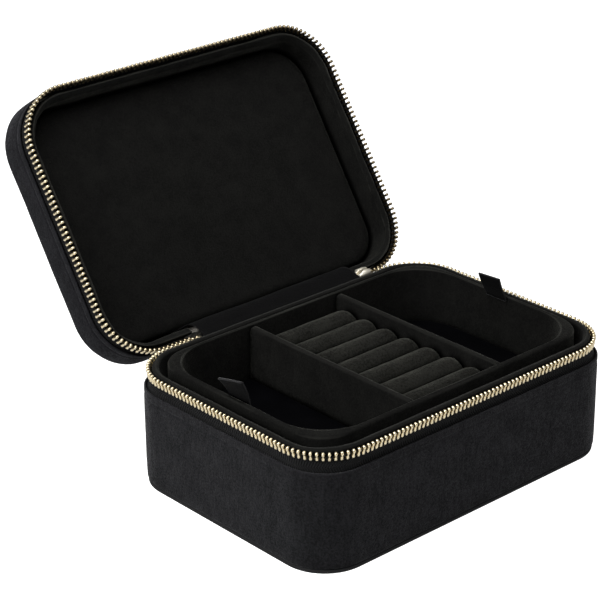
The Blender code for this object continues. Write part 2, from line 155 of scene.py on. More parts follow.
# ---------------------------------------------------------------- node materials
class NodeTree:
    """Short calls for building a material's node tree."""

    def __init__(self, name):
        self.material = bpy.data.materials.new(name)
        self.material.use_nodes = True
        self.tree = self.material.node_tree
        self.shader = self.tree.nodes["Principled BSDF"]

    def add(self, kind, inputs=None, **settings):
        """A node with its settings and inputs; an input is a value or another node's output."""
        node = self.tree.nodes.new(kind)
        for key, value in settings.items():
            setattr(node, key, value)
        for key, value in (inputs or {}).items():
            self.feed(node.inputs[key], value)
        return node

    def feed(self, socket, value):
        """Links an output to a socket, or sets the socket's value."""
        if isinstance(value, bpy.types.NodeSocket):
            self.tree.links.new(value, socket)
        else:
            socket.default_value = value

    def math(self, operation, first, second=0.0, third=0.0):
        """A math node's output."""
        return self.add("ShaderNodeMath", {0: first, 1: second, 2: third}, operation=operation).outputs[0]

    def noise(self, vector, scale, detail=3.0, roughness=0.5):
        """Noise between 0 and 1 over a vector."""
        inputs = {"Vector": vector, "Scale": scale, "Detail": detail, "Roughness": roughness}
        return self.add("ShaderNodeTexNoise", inputs).outputs["Fac"]

    def stretched(self, vector, stretch):
        """A vector with each axis multiplied."""
        inputs = {0: vector, 1: stretch}
        return self.add("ShaderNodeVectorMath", inputs, operation="MULTIPLY").outputs[0]

    def span(self, value, low, high):
        """A 0 to 1 value spread between two limits."""
        return self.math("MULTIPLY_ADD", value, high - low, low)

    def sharpen(self, value, low, high):
        """A value ramped from 0 at low to 1 at high, and clamped."""
        inputs = {"Value": value, "From Min": low, "From Max": high, "To Min": 0.0, "To Max": 1.0}
        return self.add("ShaderNodeMapRange", inputs, clamp=True).outputs[0]

    def blend(self, factor, first, second):
        """A colour between two colours."""
        node = self.add("ShaderNodeMix", {"Factor": factor}, data_type="RGBA")
        for socket, colour in ((node.inputs[6], first), (node.inputs[7], second)):
            self.feed(socket, (*colour, 1.0) if isinstance(colour, tuple) else colour)
        return node.outputs[2]

    def bump(self, height, distance, strength=1.0, normal=None):
        """A bump node's normal, with the height's full range worth a distance in metres."""
        inputs = {"Height": height, "Distance": distance, "Strength": strength}
        if normal is not None:
            inputs["Normal"] = normal
        return self.add("ShaderNodeBump", inputs).outputs["Normal"]

    def place(self):
        """Object coordinates, in metres."""
        return self.add("ShaderNodeTexCoord").outputs["Object"]

    def attribute(self, name):
        """A mesh attribute's value."""
        return self.add("ShaderNodeAttribute", attribute_name=name).outputs["Fac"]

    def folds(self, dull, bright):
        """The mask of painted fold highlights: 0 where the surface bends outward by less than dull (1/m), and
        1 above bright.
        """
        return self.sharpen(self.attribute("edge_bend"), dull, bright)

    def openness(self, reach, samples, shut, clear):
        """0 in hollows and 1 in the open: the share of sky within reach, ramped from shut to clear."""
        sky = self.add("ShaderNodeAmbientOcclusion", {"Distance": reach}, samples=samples).outputs["AO"]
        return self.sharpen(sky, shut, clear)

    def run(self):
        """The U and V lengths of the mesh's own layout, in metres."""
        layout = self.add("ShaderNodeTexCoord").outputs["UV"]
        parts = self.add("ShaderNodeSeparateXYZ", {0: layout})
        return parts.outputs[0], parts.outputs[1]

    def finish(self, **inputs):
        """Sets the Principled inputs, with spaces written as underscores."""
        for key, value in inputs.items():
            self.feed(self.shader.inputs[key.replace("_", " ")], value)
        return self.material


def velvet(name, dark, light, sheen, sheen_colour, nap_stretch, fold_shine=1.0):
    """Short-pile velvet: grain, nap streaks and mottling between two colours, with painted shade in hollows.

    nap_stretch is the streaks' density along X, Y and Z, and fold_shine is the strength of the painted
    highlight, in colour and sheen, along the folds where the cloth bends outward.
    """
    t = NodeTree(name)
    place = t.place()
    grain = t.noise(place, 950.0, 4.0, 0.8)
    mottle = t.noise(place, 70.0, 5.0, 0.6)
    streaks = t.noise(t.stretched(place, nap_stretch), 1.0, 4.0, 0.65)
    grain_share, streak_share, mottle_share = 0.62, 0.21, 0.17
    nap = t.math("MULTIPLY_ADD", streaks, streak_share, t.math("MULTIPLY", mottle, mottle_share))
    nap = t.math("MULTIPLY_ADD", grain, grain_share, nap)
    shade = t.sharpen(nap, 0.43, 0.57)
    edge = t.math("MULTIPLY", t.folds(380.0, 1300.0), fold_shine)
    pile = t.bump(grain, 0.28 * MM, 0.9)
    lay = t.bump(streaks, 0.16 * MM, 0.6, pile)
    # Painted shade: where ambient occlusion finds hollows, the colour is painted towards black and the
    # specular and sheen fade; folds are kept clear of it.
    lit = t.math("MAXIMUM", t.span(t.openness(4.5 * MM, 8, 0.30, 0.80), 0.12, 1.0), edge)
    fold_gain = 2.6
    # Painted highlight: along the folds the sheen is raised and the colour is painted towards fold_gain times
    # the light colour.
    shine = t.math("MULTIPLY", lit, t.math("MULTIPLY_ADD", edge, fold_gain, t.span(shade, 0.30, 1.6)))
    painted_fold_highlight = tuple(fold_gain * channel for channel in light)
    colour = t.blend(lit, (0.0, 0.0, 0.0), t.blend(edge, t.blend(shade, dark, light), painted_fold_highlight))
    return t.finish(Base_Color=colour, Roughness=0.92, Specular_IOR_Level=t.math("MULTIPLY", lit, 0.10),
                    Sheen_Weight=t.math("MULTIPLY", shine, sheen), Sheen_Roughness=0.38,
                    Sheen_Tint=(*sheen_colour, 1.0), Normal=lay)


def satin_lining(name):
    """Smooth dark lining on the bay floors, with a faint shine."""
    t = NodeTree(name)
    place = t.place()
    weave = t.noise(place, 3200.0, 1.0)
    sag = t.noise(place, 90.0, 2.0)
    rough = t.span(sag, 0.40, 0.55)
    return t.finish(Base_Color=t.blend(sag, (0.0004, 0.0004, 0.0006), (0.0011, 0.0011, 0.0016)),
                    Roughness=rough, Specular_IOR_Level=0.07,
                    Normal=t.bump(sag, 0.25 * MM, 0.6, t.bump(weave, 0.03 * MM, 0.4)))


def zip_tape(name):
    """Herringbone tape: raised ribs slant across it, one way and then the other, over fine threads."""
    t = NodeTree(name)
    along, across = t.run()
    band = t.math("PINGPONG", t.math("MULTIPLY", across, 1.0 / (3.4 * MM)), 1.0)
    phase = t.math("MULTIPLY_ADD", along, 1.0 / (0.5 * TOOTH_PITCH), t.math("MULTIPLY", band, 1.6))
    rib = t.math("SINE", t.math("MULTIPLY", phase, 2.0 * math.pi))
    thread = t.math("SINE", t.math("MULTIPLY", across, 2.0 * math.pi / (0.45 * MM)))
    height = t.math("MULTIPLY_ADD", thread, 0.22, rib)
    colour = t.blend(t.sharpen(height, -0.5, 1.2), (0.0002, 0.0002, 0.0003), (0.0060, 0.0060, 0.0068))
    return t.finish(Base_Color=colour, Roughness=0.75, Specular_IOR_Level=0.14, Sheen_Weight=0.02,
                    Normal=t.bump(height, 0.22 * MM, 0.8))


def ribbon(name):
    """Grosgrain ribbon: fine ribs across its width and a slight shine, with a painted highlight along its
    folds and its shine faded in hollows as painted shade.
    """
    t = NodeTree(name)
    along, across = t.run()
    rib = t.math("SINE", t.math("MULTIPLY", across, 2.0 * math.pi / (0.55 * MM)))
    thread = t.math("SINE", t.math("MULTIPLY", along, 2.0 * math.pi / (0.35 * MM)))
    height = t.math("MULTIPLY_ADD", thread, 0.25, rib)
    # Painted shade: the sheen and specular fade where ambient occlusion finds hollows.
    lit = t.openness(7.0 * MM, 8, 0.35, 0.95)
    # Painted highlight: along the ribbon's folds the sheen is raised and the colour painted lighter.
    edge = t.folds(900.0, 2400.0)
    shine = t.math("MULTIPLY", lit, t.span(edge, 0.02, 0.40))
    woven = t.blend(t.sharpen(height, -1.0, 1.0), (0.0002, 0.0002, 0.0003), (0.0008, 0.0008, 0.0011))
    colour = t.blend(edge, woven, (0.008, 0.008, 0.009))
    return t.finish(Base_Color=colour, Roughness=0.55, Specular_IOR_Level=t.math("MULTIPLY", lit, 0.06),
                    Sheen_Weight=shine, Normal=t.bump(height, 0.06 * MM, 0.7))


def gold(name, roughness, open_colour):
    """Champagne-gold plating with fine polish marks, and brown painted shade in its crevices and on sides
    marked inward.
    """
    t = NodeTree(name)
    place = t.place()
    wear = t.noise(place, 900.0, 3.0)
    marks = t.noise(place, 5200.0, 2.0)
    # Painted shade: the gold is painted brown where ambient occlusion finds crevices, and on the lid teeth's
    # sides marked inward.
    shown = t.span(t.attribute("inward"), 1.0, 0.15)
    open_share = t.math("MULTIPLY", t.openness(1.3 * MM, 6, 0.22, 0.80), shown)
    colour = t.blend(open_share, (0.07, 0.038, 0.008), open_colour)
    rough = t.math("MULTIPLY_ADD", wear, 0.12, roughness)
    return t.finish(Base_Color=colour, Metallic=1.0, Roughness=rough, Normal=t.bump(marks, 0.02 * MM, 0.35))


def greyboard(name):
    """Raw greyboard: speckled pulp."""
    t = NodeTree(name)
    place = t.place()
    speck = t.noise(place, 1500.0, 4.0, 0.7)
    return t.finish(Base_Color=t.blend(speck, (0.20, 0.185, 0.165), (0.36, 0.34, 0.31)), Roughness=0.95,
                    Normal=t.bump(speck, 0.08 * MM, 0.5))


def smooth_cloth(name):
    """Closely woven black cloth of the bottom panel."""
    t = NodeTree(name)
    place = t.place()
    weave = t.noise(place, 3600.0, 1.0)
    return t.finish(Base_Color=t.blend(weave, (0.002, 0.002, 0.002), (0.008, 0.008, 0.009)), Roughness=0.7,
                    Specular_IOR_Level=0.25, Normal=t.bump(weave, 0.05 * MM, 0.6))


def pale_floor(name):
    """Plain studio floor, lit white from behind as seen by the camera."""
    t = NodeTree(name)
    seen = t.add("ShaderNodeLightPath").outputs["Is Camera Ray"]
    tone = t.noise(t.place(), 3.0, 2.0)
    return t.finish(Base_Color=t.blend(tone, (0.62, 0.62, 0.62), (0.64, 0.64, 0.64)), Roughness=0.8,
                    Specular_IOR_Level=0.0, Emission_Color=(1.0, 1.0, 1.0, 1.0),
                    Emission_Strength=t.math("MULTIPLY", seen, 0.95))


# How closely the nap's streaks follow each other along X, Y and Z.
BRUSHED_DOWN = (420.0, 420.0, 120.0)
BRUSHED_LOOSE = (120.0, 160.0, 120.0)
BRUSHED_ACROSS = (60.0, 240.0, 240.0)

OUTER_VELVET = velvet("outer_velvet", (0.0032, 0.0032, 0.0037), (0.0100, 0.0100, 0.0112), 0.13,
                      (0.80, 0.80, 0.84), BRUSHED_DOWN, 0.15)
# A darker copy of the outer velvet for the lid: painted shade, standing for the lid's nap, which lies the
# other way and catches less light.
LID_VELVET = velvet("lid_velvet", (0.0024, 0.0024, 0.0030), (0.0076, 0.0076, 0.0090), 0.095,
                    (0.78, 0.79, 0.86), BRUSHED_DOWN, 0.15)
LINING = velvet("lining_velvet", (0.0018, 0.0018, 0.0016), (0.0050, 0.0050, 0.0044), 0.05,
                (0.82, 0.82, 0.72), BRUSHED_LOOSE)
# A darker copy of the lining velvet for the collar: painted shade, for the collar that stands down between
# the zip teeth and the tray.
SHADED_COLLAR_LINING = velvet("shaded_collar_lining_velvet", (0.0010, 0.0010, 0.0009), (0.0032, 0.0032, 0.0029), 0.035,
                       (0.82, 0.82, 0.76), BRUSHED_LOOSE)
HINGE_LINING = velvet("hinge_lining_velvet", (0.0004, 0.0004, 0.0005), (0.0013, 0.0013, 0.0014), 0.010,
                      (0.80, 0.80, 0.80), BRUSHED_ACROSS)
ROLL_VELVET = velvet("roll_velvet", (0.0026, 0.0026, 0.0020), (0.0120, 0.0120, 0.0100), 0.11,
                     (0.84, 0.84, 0.72), BRUSHED_ACROSS)
FLOOR_LINING = satin_lining("bay_floor_lining")
TAPE = zip_tape("zip_tape_weave")
RIBBON = ribbon("tab_ribbon_weave")
TEETH_GOLD = gold("zip_teeth_gold", 0.22, (0.80, 0.69, 0.47))
SLIDER_GOLD = gold("zip_slider_gold", 0.48, (0.95, 0.90, 0.78))
BOARD = greyboard("greyboard_pulp")
BOTTOM_CLOTH = smooth_cloth("bottom_cloth")
FLOOR = pale_floor("studio_floor")


# ---------------------------------------------------------------- mesh helpers
def rounded_path(half_x, half_y, radius, start_x=0.0, end_x=0.0):
    """A rounded rectangle from start_x on the back edge, round the left, front and right, to end_x."""
    corner_steps, back_steps, front_steps, side_steps = 14, 26, 64, 40
    points = []

    def straight(first, last, steps):
        for step in range(steps):
            points.append(np.array(first) + (np.array(last) - np.array(first)) * step / steps)

    def arc(side_x, side_y, quarter):
        centre = (side_x * (half_x - radius), side_y * (half_y - radius))
        for step in range(corner_steps):
            angle = math.radians(90) * (quarter + step / corner_steps)
            points.append(np.array(centre) + radius * np.array((math.cos(angle), math.sin(angle))))

    flat_x, flat_y = half_x - radius, half_y - radius
    straight((start_x, half_y), (-flat_x, half_y), back_steps)
    arc(-1, 1, 1)
    straight((-half_x, flat_y), (-half_x, -flat_y), side_steps)
    arc(-1, -1, 2)
    straight((-flat_x, -half_y), (flat_x, -half_y), front_steps)
    arc(1, -1, 3)
    straight((half_x, -flat_y), (half_x, flat_y), side_steps)
    arc(1, 1, 0)
    straight((flat_x, half_y), (end_x, half_y), back_steps)
    if start_x != end_x:
        points.append(np.array((end_x, half_y)))
    return np.array(points)


def level_row(half_x, half_y, radius, inset, z, start_x=0.0, end_x=0.0):
    """A level loop, inset from a rounded rectangle."""
    path = rounded_path(half_x - inset, half_y - inset, radius - inset, start_x, end_x)
    return np.column_stack([path, np.full(len(path), z)])


def lining_row(inset, z, back_corner, start_x=0.0, end_x=0.0):
    """A level loop of the lid's lining, with its own corner radius next to the hinge."""
    row = level_row(HALF_X, HALF_Y, LID_LINING_CORNER, inset, z, start_x, end_x)
    back = level_row(HALF_X, HALF_Y, back_corner, inset, z, start_x, end_x)
    behind = row[:, 1] > 0
    row[behind] = back[behind]
    return row


def shrinking_rows(row, shares):
    """Level loops inside a loop, towards the middle of the case: one for each share of its size."""
    return [row * (share, share, 1.0) for share in shares]


def case_rows(section, corner, start_x=0.0, end_x=0.0):
    """Level loops of the case at each (inset, z) of a section."""
    return [level_row(HALF_X, HALF_Y, corner, inset, z, start_x, end_x) for inset, z in section]


def soften(corners, closed=True, steps=5, spacing=2.5 * MM):
    """A section from (a, b, rounding) corners: each corner becomes a curve, and long lines are divided."""
    count = len(corners)
    points = []
    for index, (a, b, rounding) in enumerate(corners):
        here = np.array((a, b))
        ends = not closed and index in (0, count - 1)
        if ends or rounding == 0:
            points.append(here)
            continue
        arms = []
        for other in (corners[index - 1], corners[(index + 1) % count]):
            arm = np.array(other[:2]) - here
            length = np.linalg.norm(arm)
            arms.append(here + arm / length * min(rounding, length * 0.49))
        for step in range(steps + 1):
            share = step / steps
            points.append((1 - share) ** 2 * arms[0] + 2 * share * (1 - share) * here + share ** 2 * arms[1])
    divided = []
    followers = points[1:] + points[:1] if closed else points[1:]
    for first, second in zip(points, followers):
        pieces = max(1, math.ceil(np.linalg.norm(second - first) / spacing))
        divided += [first + (second - first) * step / pieces for step in range(pieces)]
    if not closed:
        divided.append(points[-1])
    return divided


def add_object(name, data):
    """A smooth-shaded object of the scene, for a mesh."""
    data.shade_smooth()
    piece = bpy.data.objects.new(name, data)
    bpy.context.scene.collection.objects.link(piece)
    return piece


def new_piece(name, points, faces, layout=None):
    """A smooth-shaded mesh object, with an optional UV pair for each face corner."""
    data = bpy.data.meshes.new(name)
    data.from_pydata([tuple(point) for point in points], [], faces)
    if layout is not None:
        layer = data.uv_layers.new(name="run")
        layer.data.foreach_set("uv", np.array(layout, np.float32).ravel())
    data.validate()
    data.update()
    return add_object(name, data)


def around(count):
    """Angles of that many equal steps round a circle."""
    return [2 * math.pi * step / count for step in range(count)]


def directions(path):
    """Unit vectors along a 2-D path, at each of its points."""
    along = np.gradient(path, axis=0)
    return along / np.linalg.norm(along, axis=1)[:, None]


def lengths_along(points):
    """Distance travelled at each point of a polyline."""
    steps = np.linalg.norm(np.diff(points, axis=0), axis=1)
    return np.concatenate([[0.0], np.cumsum(steps)])


def skin(name, rows, kind="solid"):
    """A closed mesh over rows of points, laid out by its lengths.

    The rows of a solid are loops, and the first and last are filled. Those of a ring are loops too,
    and the last is joined to the first. Those of a strip are lines across it: the last is joined to
    the first, and the two sides are filled.
    """
    rows = np.array(rows)
    row_count, column_count = rows.shape[:2]
    middle = rows[row_count // 2]
    along = lengths_along(np.vstack([middle, middle[:1]]))
    across = lengths_along(np.vstack([rows[:, 0], rows[:1, 0]]))
    index = np.arange(row_count * column_count).reshape(row_count, column_count).tolist()
    faces, layout = [], []
    for i in range(row_count - 1 if kind == "solid" else row_count):
        row, next_row = index[i], index[(i + 1) % row_count]
        for j in range(column_count - 1 if kind == "strip" else column_count):
            next_j = (j + 1) % column_count
            faces.append((row[j], row[next_j], next_row[next_j], next_row[j]))
            layout += [(along[j], across[i]), (along[j + 1], across[i]),
                       (along[j + 1], across[i + 1]), (along[j], across[i + 1])]
    caps = []
    if kind == "solid":
        caps = [index[0][::-1], index[-1]]
    if kind == "strip":
        caps = [[row[0] for row in index], [row[-1] for row in index][::-1]]
    for cap in caps:
        faces.append(cap)
        layout += [(0.0, 0.0)] * len(cap)
    piece = new_piece(name, rows.reshape(-1, 3), faces, layout)
    face_outward(piece)
    return piece


def face_outward(piece):
    """Turns every face of a closed piece outward."""
    mesh = bmesh.new()
    mesh.from_mesh(piece.data)
    bmesh.ops.recalc_face_normals(mesh, faces=mesh.faces)
    mesh.to_mesh(piece.data)
    mesh.free()
    piece.data.update()


def ruffle(piece, amplitude, size, seed, weight=None):
    """Moves a piece's surface in and out along its normals by smooth noise."""
    data = piece.data
    shift = Vector((seed * 7.3, seed * 3.1, seed * 5.7))
    normals = [vertex.normal.copy() for vertex in data.vertices]
    for vertex, normal in zip(data.vertices, normals):
        share = 1.0 if weight is None else weight(vertex.co)
        vertex.co += normal * (amplitude * share * noise.noise(vertex.co / size + shift))
    data.update()


def join_pieces(name, pieces):
    """Several meshes as one object."""
    combined = bmesh.new()
    for piece in pieces:
        combined.from_mesh(piece.data)
        bpy.data.objects.remove(piece)
    data = bpy.data.meshes.new(name)
    combined.to_mesh(data)
    combined.free()
    return add_object(name, data)


def round_edges(piece, width, segments):
    """Rounds the sharp edges of a piece."""
    bevel = piece.modifiers.new("soft edges", "BEVEL")
    bevel.width = width
    bevel.segments = segments
    bevel.limit_method = "ANGLE"


def mark_edges(piece):
    """Stores how sharply each vertex bends outward (1/m), as the mask for painted highlights along the folds.
    """
    mesh = piece.data
    places, normals = np.empty(3 * len(mesh.vertices)), np.empty(3 * len(mesh.vertices))
    mesh.vertices.foreach_get("co", places)
    mesh.vertices.foreach_get("normal", normals)
    places, normals = places.reshape(-1, 3), normals.reshape(-1, 3)
    ends = np.empty(2 * len(mesh.edges), dtype=np.int32)
    mesh.edges.foreach_get("vertices", ends)
    bend = np.zeros(len(places))
    for here, there in (ends.reshape(-1, 2).T, ends.reshape(-1, 2).T[::-1]):
        step = places[here] - places[there]
        squared = np.maximum((step ** 2).sum(axis=1), 1e-12)
        np.maximum.at(bend, here, 2 * (step * normals[here]).sum(axis=1) / squared)
    mesh.attributes.new("edge_bend", "FLOAT", "POINT").data.foreach_set("value", bend)


def dress(piece, material, slot, body, *nodes):
    """Gives a finished piece its material, body and the CAD nodes that it stands for; its slot is not used.

    A piece of the lid, built in the closed case, is first turned to where the open lid holds it.
    """
    if body == "lid":
        piece.data.transform(LID_OPENING)
        piece.data.update()
    mark_edges(piece)
    piece.data.materials.clear()
    piece.data.materials.append(material)
    if nodes:
        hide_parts(*nodes)
    if body:
        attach(piece, body)


def cornerness(point, reach=34.0 * MM):
    """1 at the case's vertical corners, falling to 0 along the straight sides."""
    from_corner = math.hypot(HALF_X - abs(point.x), HALF_Y - abs(point.y))
    return max(0.0, 1.0 - from_corner / reach)


# ---------------------------------------------------------------- base
def make_bottom_panel():
    """Thin bottom panel with a rounded rim, seen as a dark lip under the cover."""
    rim = HALF_X - PANEL_HALF_X
    section = soften([
        (30 * MM, 0.0, 0), (rim + 0.6 * MM, 0.0, 0), (rim, 0.0, 0.8 * MM),
        (rim, PANEL_TOP, 0.8 * MM), (6 * MM, PANEL_TOP, 0)], closed=False, spacing=6 * MM)
    deepest_inset = 20 * MM
    rows = case_rows([(min(inset, deepest_inset), z) for inset, z in section], BASE_CORNER)
    panel = skin("bottom_panel", rows)
    dress(panel, BOTTOM_CLOTH, "bottom_fabric", "base", "base_bottom_panel")


def make_base_cover():
    """Velvet round the walls. Below its top edge a crease shows where the board under it ends."""
    crease = COVER_TOP - 4.5 * MM
    section = soften([
        (2.0 * MM, COVER_LOW + 0.1 * MM, 0.2 * MM), (0.15 * MM, COVER_LOW + 0.1 * MM, 0.9 * MM),
        (0.0, COVER_LOW + 7 * MM, 4 * MM), (-0.05 * MM, 0.5 * (COVER_LOW + crease), 8 * MM),
        (0.0, crease - 0.9 * MM, 0.5 * MM), (0.30 * MM, crease, 0.5 * MM),
        (0.15 * MM, crease + 0.9 * MM, 0.5 * MM), (0.10 * MM, COVER_TOP, 0.8 * MM),
        (1.20 * MM, COVER_TOP - 0.1 * MM, 0.3 * MM), (1.25 * MM, COVER_TOP - 3 * MM, 0.2 * MM),
        (1.0 * MM, COVER_TOP - 4 * MM, 0), (1.0 * MM, COVER_LOW + 2 * MM, 0)], spacing=1.5 * MM)
    cover = skin("base_cover_velvet", case_rows(section, BASE_CORNER), "ring")
    ruffle(cover, 0.16 * MM, 22 * MM, 1)
    flat_height = 30 * MM
    ruffle(cover, 0.30 * MM, 9 * MM, 2, lambda p: cornerness(p) * max(0.0, p.z / flat_height - 1))
    ruffle(cover, 0.05 * MM, 3.2 * MM, 3)
    dress(cover, OUTER_VELVET, "outer_velvet", "base", "base_cover")


def make_collar():
    """Lining collar that stands up inside the zip, gathered at its corners and a little lower at the left."""
    outer, inner = COLLAR_INSET, COLLAR_INNER_INSET
    section = soften([
        (4.1 * MM, COLLAR_LOW, 0.3 * MM), (4.1 * MM, COVER_TOP - 1.5 * MM, 0.6 * MM),
        (outer, COVER_TOP, 0.6 * MM), (outer + 0.05 * MM, COLLAR_TOP, 1.7 * MM),
        (inner, COLLAR_TOP + 0.05 * MM, 1.7 * MM), (inner + 0.15 * MM, COLLAR_TOP - 12 * MM, 4 * MM),
        (inner, COLLAR_LOW, 0.3 * MM)], spacing=1.8 * MM)
    collar = skin("base_lining_collar", case_rows(section, ZIP_CORNER), "ring")
    ruffle(collar, 0.20 * MM, 18 * MM, 4)
    ruffle(collar, 0.35 * MM, 4.5 * MM, 5, lambda p: 0.8 * cornerness(p, 40 * MM))
    sag = 0.8 * MM
    for vertex in collar.data.vertices:
        left = ramp(-vertex.co.x, 80 * MM, 92 * MM)
        vertex.co.z -= sag * left * ramp(vertex.co.z, COVER_TOP, COLLAR_TOP)
    dress(collar, SHADED_COLLAR_LINING, "lining_velvet", "base", "base_lining_wall")


def make_lower_compartment():
    """Padded floor and the ledge that the tray stands on."""
    edge = COLLAR_INNER_INSET + 0.5 * MM
    rows = []
    # Each loop's share of the pad's outline, and how far below the pad's top it lies, as a share.
    for share, drop in (
            (1.0, 1.0), (0.998, 0.35), (0.990, 0.08), (0.96, 0.0), (0.8, -0.1), (0.5, -0.2), (0.2, -0.2)):
        row = level_row(HALF_X, HALF_Y, ZIP_CORNER, edge, PAD_TOP - drop * (PAD_TOP - PAD_LOW))
        row[:, :2] *= share
        rows.append(row)
    pad = skin("base_floor_padding", rows)
    ruffle(pad, 0.20 * MM, 14 * MM, 6, lambda p: float(p.z > PAD_LOW + 1 * MM))
    dress(pad, LINING, "lining_velvet", "base", "base_floor_pad")

    outer_x, outer_y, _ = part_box("tray_rest_frame")[1]
    outer_corner = 20.3 * MM
    inner_x, inner_y, inner_corner = 87.3 * MM, 55.5 * MM, 16.0 * MM
    rounding = 0.9 * MM
    rim = [(0.0, LEDGE_TOP - rounding), (0.3 * rounding, LEDGE_TOP - 0.3 * rounding), (rounding, LEDGE_TOP)]
    inside = [(0.0, LEDGE_TOP - 8 * MM), (0.0, LEDGE_LOW + 8 * MM), (0.0, LEDGE_LOW)]
    rows = [level_row(outer_x, outer_y, outer_corner, inset, z) for inset, z in [(0.0, LEDGE_LOW)] + rim]
    rows += [level_row(inner_x, inner_y, inner_corner, -inset, z) for inset, z in rim[::-1] + inside]
    ledge = skin("tray_ledge_velvet", rows, "ring")
    dress(ledge, LINING, "lining_velvet", "base", "tray_rest_frame")


# ---------------------------------------------------------------- zip
def make_tape(body, levels):
    """Woven tape through (inset, z, corner radius) levels, from the cover's edge to the teeth."""
    inner_levels = [(inset + TAPE_THICKNESS, z, corner) for inset, z, corner in reversed(levels)]
    rows = [level_row(HALF_X, HALF_Y, corner, inset, z, ZIP_START, ZIP_END)
            for inset, z, corner in levels + inner_levels]
    tape = skin(body + "_tape_weave", rows, "strip")
    dress(tape, TAPE, "zip_tape", body, body + "_zip_tape")


def make_cord(body, z):
    """Round woven cord inside the legs of the teeth."""
    line_inset, corner, _ = ZIP_LINES[body]
    section = [(line_inset + CORD_RADIUS * math.cos(angle), z + CORD_RADIUS * math.sin(angle))
               for angle in around(10)]
    rows = case_rows(section, corner, ZIP_START, ZIP_END)
    cord = skin(body + "_zip_cord", rows, "strip")
    dress(cord, TAPE, "zip_tape", body)


def tooth_shape():
    """One tooth, as (points, faces): X runs along the row, Y outward, and Z towards the other row.

    It grips the cord with a broad foot, narrows to a waist, and ends in a rounded head.
    """
    levels = (
        # height, half width and half depth, in millimetres
        (0.00, 0.50, 0.85), (0.20, 0.76, 1.18), (0.55, 0.84, 1.30), (1.25, 0.82, 1.30),
        (1.75, 0.66, 1.16), (2.40, 0.54, 1.02), (2.95, 0.54, 1.02), (3.45, 0.63, 1.06), (3.95, 0.74, 1.04),
        (4.45, 0.71, 0.90), (4.78, 0.50, 0.62), (4.90, 0.20, 0.28),
    )
    sides = 12
    squareness = 0.66
    points, faces = [], []
    for height, half_width, half_depth in levels:
        for angle in around(sides):
            c, s = math.cos(angle), math.sin(angle)
            x = math.copysign(abs(c) ** squareness, c) * half_width
            y = math.copysign(abs(s) ** squareness, s) * half_depth
            points.append((x * MM, y * MM, height * MM))
    for level in range(len(levels) - 1):
        for side in range(sides):
            after = (side + 1) % sides
            faces.append((level * sides + side, level * sides + after,
                          (level + 1) * sides + after, (level + 1) * sides + side))
    faces.append(list(range(sides))[::-1])
    faces.append([(len(levels) - 1) * sides + side for side in range(sides)])
    return np.array(points), faces


def make_teeth(body, root_z, direction, offset):
    """A row of separate teeth along the zip's line; direction is the way that they stand.

    The row leans outward, most of all round the front left corner. The lid's teeth are marked as
    inward on the inner sides of its right and front, where painted shade turns their gold brown.
    """
    inset, corner, lean = ZIP_LINES[body]
    path = rounded_path(HALF_X - inset, HALF_Y - inset, corner - inset, ZIP_START, ZIP_END)
    travelled = lengths_along(path)
    margin, half_step = 1.0 * MM, 0.5 * MM
    count = int((travelled[-1] - 2 * margin) / TOOTH_PITCH)
    shape, shape_faces = tooth_shape()
    points, faces, inward = [], [], []

    def path_at(distance):
        return np.array([np.interp(distance, travelled, path[:, axis]) for axis in (0, 1)])

    for number in range(count):
        at = margin + offset + number * TOOTH_PITCH
        run = path_at(at + half_step) - path_at(at - half_step)
        run /= np.linalg.norm(run)
        out = np.array((run[1], -run[0]))
        outward_lean = lean * (0.5 - 0.5 * (out[0] + out[1]) / math.sqrt(2))
        c, s = math.cos(outward_lean), math.sin(outward_lean)
        # Painted shade: how much of each lid tooth's inner side the gold paints brown.
        sheltered = ramp(out[0], -1.0, 1 / 3) if body == "lid" else 0.0
        wobble = 0.03 * MM * noise.noise(Vector((number * 0.9, root_z / MM, 0.0)))
        tilt = 0.015 * noise.noise(Vector((number * 0.7, root_z / MM, 5.0)))
        start = len(points)
        for x, y, z in shape:
            place = path_at(at) + run * (x + wobble + tilt * z) + out * (y * c + z * s)
            points.append((place[0], place[1], root_z + direction * (z * c - y * s)))
            inward.append(sheltered * ramp(-y, -1.28 * MM, 0.32 * MM))
        faces += [[start + index for index in face] for face in shape_faces]
    row = new_piece(body + "_teeth_row", points, faces)
    face_outward(row)
    row.data.attributes.new("inward", "FLOAT", "POINT").data.foreach_set("value", inward)
    dress(row, TEETH_GOLD, "zip_metal", body, body + "_zip_teeth")


def make_zip():
    """Tapes, cords and tooth rows of both halves. The rows are half a pitch apart, so they mesh."""
    make_tape("base", [
        (1.35 * MM, TAPE_LOW + 0.2 * MM, BASE_CORNER), (2.0 * MM, COVER_TOP + 0.2 * MM, BASE_CORNER),
        (1.9 * MM, COVER_TOP + 2.4 * MM, 25 * MM), (1.8 * MM, TAPE_TOP - 0.6 * MM, 26.4 * MM),
        (1.7 * MM, TEETH_LOW + 0.9 * MM, ZIP_CORNER)])
    make_tape("lid", [
        (1.0 * MM, LID_TEETH_TOP - 0.5 * MM, LID_ZIP_CORNER),
        (1.1 * MM, LID_TEETH_TOP + 1.0 * MM, LID_ZIP_CORNER),
        (1.9 * MM, LID_COVER_LOW - 0.6 * MM, LID_CORNER), (1.35 * MM, LID_TAPE_TOP - 0.2 * MM, LID_CORNER)])
    base_root, lid_root = TEETH_LOW, LID_TEETH_TOP + 0.5 * MM
    cord_depth = 0.75 * MM
    make_cord("base", base_root + cord_depth)
    make_cord("lid", lid_root - cord_depth)
    make_teeth("base", base_root, 1.0, 0.0)
    make_teeth("lid", lid_root, -1.0, TOOTH_PITCH / 2)


